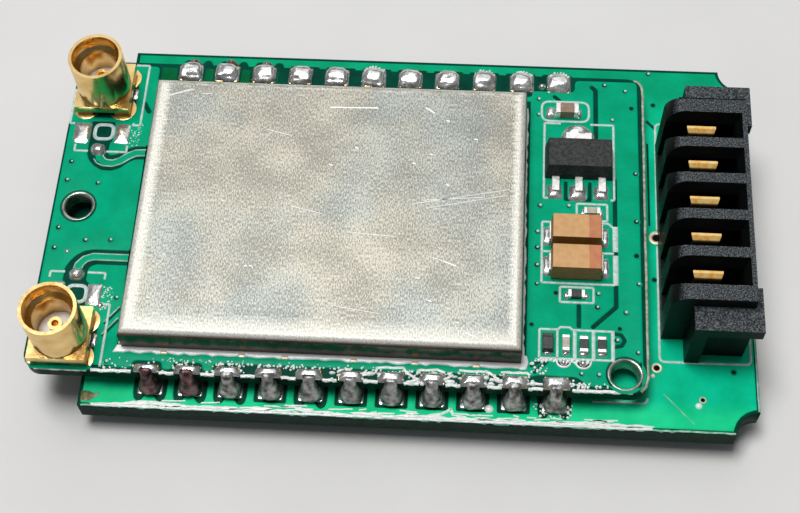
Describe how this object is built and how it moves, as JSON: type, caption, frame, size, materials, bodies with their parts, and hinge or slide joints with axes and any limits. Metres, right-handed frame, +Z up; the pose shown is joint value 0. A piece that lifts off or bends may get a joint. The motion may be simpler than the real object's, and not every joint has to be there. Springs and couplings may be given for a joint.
{
  "type": "radio control transmitter module",
  "caption": "Radio transmitter module: castellated radio board with a shield can and coaxial antenna jacks, soldered onto a carrier board with a slotted blade connector.",
  "frame": {"origin": "under the middle of the whole part, on the plane of the connector's tail tips", "axes": "+X along the boards towards the blade connector, +Y towards the bright joint row, +Z up"},
  "size_m": [0.046, 0.0272, 0.009],
  "materials": {
    "mask_green": "glossy solder mask",
    "solder_bright": "shiny solder",
    "solder_dull": "dull grainy solder",
    "shield_sheet": "tinned sheet with a fine grain and scratches",
    "gold": "polished gold plating",
    "ptfe": "white insulator",
    "moulding": "dark moulding compound",
    "tin": "tinned terminal",
    "tantalum_epoxy": "yellow-orange epoxy",
    "capacitor_ceramic": "fired brown ceramic",
    "capacitor_beige": "fired beige ceramic",
    "chip_black": "black glaze",
    "housing_black": "black plastic with a fine grain"
  },
  "bodies": {
    "root": {"carrier_board": "mask_green", "module_board": "mask_green", "edge_joints_rear": "solder_bright", "edge_joints_front": "solder_dull", "shield_can": "shield_sheet", "jack_rear_body": "gold", "jack_rear_insulator": "ptfe", "jack_rear_contact": "gold", "jack_front_body": "gold", "jack_front_insulator": "ptfe", "jack_front_contact": "gold", "regulator_body": "moulding", "regulator_leads": "tin", "tantalum_rear_body": "tantalum_epoxy", "tantalum_rear_terminals": "tin", "tantalum_front_body": "tantalum_epoxy", "tantalum_front_terminals": "tin", "rear_capacitor_body": "capacitor_ceramic", "rear_capacitor_ends": "tin", "small_capacitor_body": "capacitor_ceramic", "small_capacitor_ends": "tin", "resistor_body": "chip_black", "resistor_ends": "tin", "row_inductor_body": "chip_black", "row_inductor_ends": "tin", "row_capacitor_body": "capacitor_beige", "row_capacitor_ends": "tin", "row_resistor_left_body": "chip_black", "row_resistor_left_ends": "tin", "row_resistor_right_body": "chip_black", "row_resistor_right_ends": "tin", "transceiver_chip": "moulding", "controller_chip": "moulding", "amplifier_chip": "moulding", "crystal_can": "tin", "connector_housing": "housing_black", "connector_contact_1": "gold", "connector_contact_2": "gold", "connector_contact_3": "gold", "connector_contact_4": "gold", "connector_contact_5": "gold", "connector_solder": "solder_bright"}
  },
  "joints": []
}
